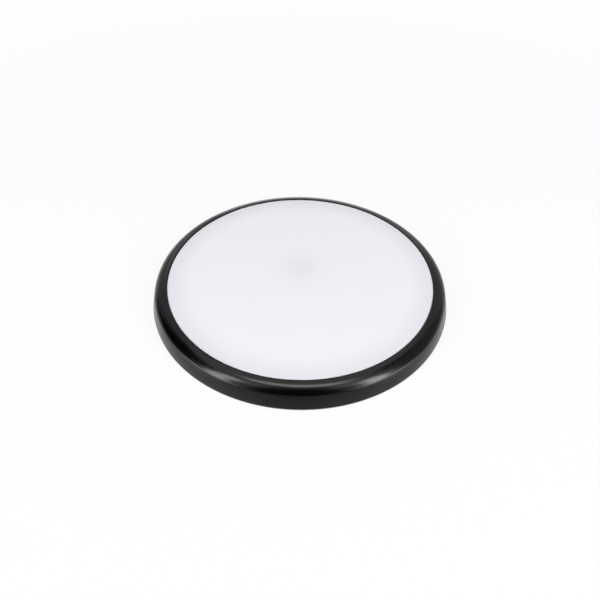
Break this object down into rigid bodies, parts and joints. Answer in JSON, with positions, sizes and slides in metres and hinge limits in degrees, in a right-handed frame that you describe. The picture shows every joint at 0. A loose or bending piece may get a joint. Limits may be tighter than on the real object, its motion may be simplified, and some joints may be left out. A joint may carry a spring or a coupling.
{
  "type": "ceiling light",
  "caption": "Slim round surface-mounted ceiling light: black rounded ring, flat white opal diffuser, twist-off cover on a screwed base.",
  "frame": {"origin": "centre of the face that meets the ceiling", "axes": "+Z out of the ceiling into the room, through the middle of the diffuser; +X and +Y across the light, with the cable entry on -Y"},
  "size_m": [0.3, 0.3, 0.0219],
  "materials": {
    "ring_black": "satin moulded black",
    "opal": "satin opal white",
    "base_white": "fine moulded texture",
    "seal_grey": "matte silicone",
    "grommet_black": "matte",
    "board_white": "white solder mask",
    "led_yellow": "clear over yellow phosphor",
    "lens_clear": "polished",
    "screw_steel": "zinc plated",
    "cover_white": "fine moulded texture",
    "circuit_green": "solder mask",
    "terminal_cream": "moulded",
    "screw_brass": "plated",
    "ferrite": "ground ferrite",
    "bobbin_black": "moulded",
    "tape_yellow": "polyester tape",
    "can_black": "shrink sleeve",
    "film_yellow": "moulded box",
    "disc_blue": "dipped epoxy",
    "choke_grey": "wound drum under sleeve",
    "resistor_green": "flameproof lacquer",
    "package_black": "moulded epoxy",
    "connector_white": "moulded",
    "lead_red": "smooth insulation",
    "lead_black": "smooth insulation"
  },
  "bodies": {
    "lamp_base": {"base": "base_white", "cable_grommet": "grommet_black", "cover_seal": "seal_grey", "led_board": "board_white", "leds": "led_yellow", "led_lenses": "lens_clear", "led_board_screws": "screw_steel", "driver_cover": "cover_white", "driver_cover_screws": "screw_steel", "driver_board": "circuit_green", "driver_board_screws": "screw_steel", "terminal_block": "terminal_cream", "terminal_screws": "screw_brass", "transformer_core": "ferrite", "transformer_bobbin": "bobbin_black", "transformer_winding": "tape_yellow", "input_capacitor": "can_black", "output_capacitor": "can_black", "film_capacitor": "film_yellow", "safety_capacitor": "disc_blue", "filter_choke": "choke_grey", "fusible_resistor": "resistor_green", "surge_absorber": "disc_blue", "bridge_rectifier": "package_black", "driver_chip": "package_black", "output_diode": "package_black", "driver_connector": "connector_white", "lead_plug": "connector_white", "board_connector": "connector_white", "lead_red": "lead_red", "lead_black": "lead_black"},
    "lamp_cover": {"trim_ring": "ring_black", "diffuser": "opal"}
  },
  "joints": [
    {"name": "cover_twist", "type": "hinge", "parent": "lamp_base", "child": "lamp_cover", "pos_m": [0, 0, 0.01], "axis": [0, 0, 1], "range_deg": [0, 18]}
  ]
}
